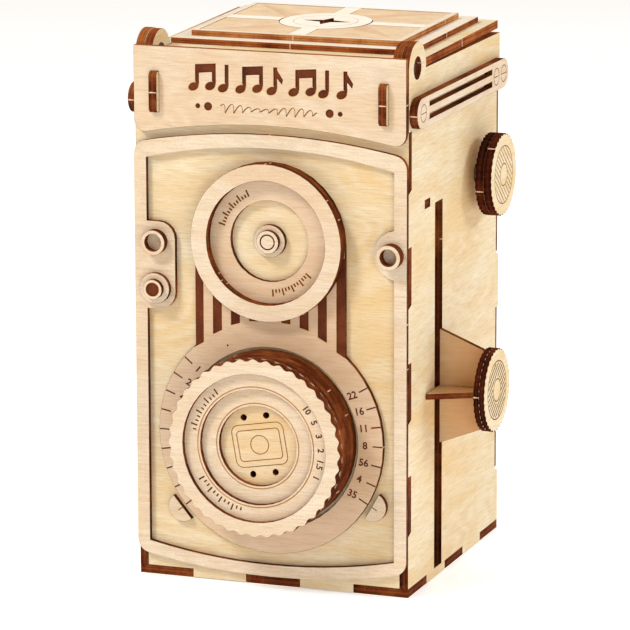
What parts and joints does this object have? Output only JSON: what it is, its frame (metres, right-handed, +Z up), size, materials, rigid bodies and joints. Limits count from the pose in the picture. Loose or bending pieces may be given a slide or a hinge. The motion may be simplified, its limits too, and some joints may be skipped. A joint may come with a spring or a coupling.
{
  "type": "wooden camera music box puzzle",
  "caption": "Laser-cut plywood puzzle model of an upright box camera with a hinged lid, a turning focus lens, a side lift, and a winding knob for the musical movement inside.",
  "frame": {"origin": "centre of the square body's underside", "axes": "+Z up, -Y towards the lenses, +X towards the side with the two knobs"},
  "size_m": [0.124, 0.1193, 0.1935],
  "materials": {
    "birch_ply": "bare birch plywood, laser-cut with charred edges",
    "trim_ply": "bare thin basswood plywood, laser-cut with charred edges",
    "dowel": "turned bare dowel",
    "brass": "satin",
    "steel": "brushed"
  },
  "bodies": {
    "case": {"back_panel": "birch_ply", "base_plate": "birch_ply", "button_base": "trim_ply", "button_cap": "trim_ply", "comb_base": "brass", "comb_screw_lower": "steel", "comb_screw_upper": "steel", "front_frame": "trim_ply", "front_panel": "birch_ply", "governor_bracket": "brass", "left_panel": "birch_ply", "left_socket_ring": "trim_ply", "mid_shelf": "birch_ply", "movement_bed_plate": "brass", "music_comb": "steel", "nameplate": "trim_ply", "nameplate_tab_left": "birch_ply", "nameplate_tab_right": "birch_ply", "right_panel": "birch_ply", "right_socket_ring_front": "trim_ply", "right_socket_ring_rear": "trim_ply", "scale_plate": "trim_ply", "side_bar_left": "trim_ply", "side_bar_right": "trim_ply", "spring_barrel": "steel", "stud_left": "trim_ply", "stud_right": "trim_ply", "view_lens_hub_base": "trim_ply", "view_lens_hub_cap": "trim_ply", "view_lens_ring_front": "trim_ply", "view_lens_ring_rear": "trim_ply"},
    "lid": {"hinge_pin_left": "dowel", "hinge_pin_right": "dowel", "lid_lug_left": "birch_ply", "lid_lug_right": "birch_ply", "lid_plate_bottom": "birch_ply", "lid_plate_middle": "trim_ply", "lid_plate_top": "trim_ply"},
    "winding": {"winding_knob_front": "birch_ply", "winding_knob_rear": "birch_ply", "winding_shaft": "steel"},
    "lift": {"lift_arm_cross": "birch_ply", "lift_arm_upright": "birch_ply", "lift_knob_front": "birch_ply", "lift_knob_rear": "birch_ply", "lift_platform": "birch_ply", "lift_shoe": "birch_ply"},
    "focus": {"focus_axle": "dowel", "focus_barrel_front": "birch_ply", "focus_barrel_rear": "birch_ply", "focus_disc_front": "birch_ply", "focus_disc_rear": "birch_ply", "focus_retainer": "birch_ply", "focus_ring_inner": "trim_ply", "focus_ring_middle": "trim_ply", "focus_ring_outer": "trim_ply"},
    "cylinder": {"music_cylinder": "brass"},
    "governor_fan": {"governor": "steel"}
  },
  "joints": [
    {"name": "lid_hinge", "type": "hinge", "parent": "case", "child": "lid", "pos_m": [0, -0.041, 0.1845], "axis": [1, 0, 0], "range_deg": [-0.93, 133]},
    {"name": "winding_turn", "type": "hinge", "parent": "case", "child": "winding", "pos_m": [0.054, 0.0245, 0.1367], "axis": [1, 0, 0], "continuous": true},
    {"name": "lift_slide", "type": "slide", "parent": "case", "child": "lift", "axis": [0, 0, 1], "range_m": [-0.0443, 0.045]},
    {"name": "focus_turn", "type": "hinge", "parent": "case", "child": "focus", "pos_m": [0, -0.06, 0.0535], "axis": [0, -1, 0], "continuous": true},
    {"name": "cylinder_spin", "type": "hinge", "parent": "case", "child": "cylinder", "pos_m": [0.034, 0.026, 0.162], "axis": [0, 0, 1], "continuous": true},
    {"name": "governor_spin", "type": "hinge", "parent": "case", "child": "governor_fan", "pos_m": [0.036, 0.014, 0.164], "axis": [0, 0, 1], "continuous": true}
  ],
  "couplings": [
    {"joint": "governor_spin", "follows": "cylinder_spin", "ratio": 12}
  ]
}
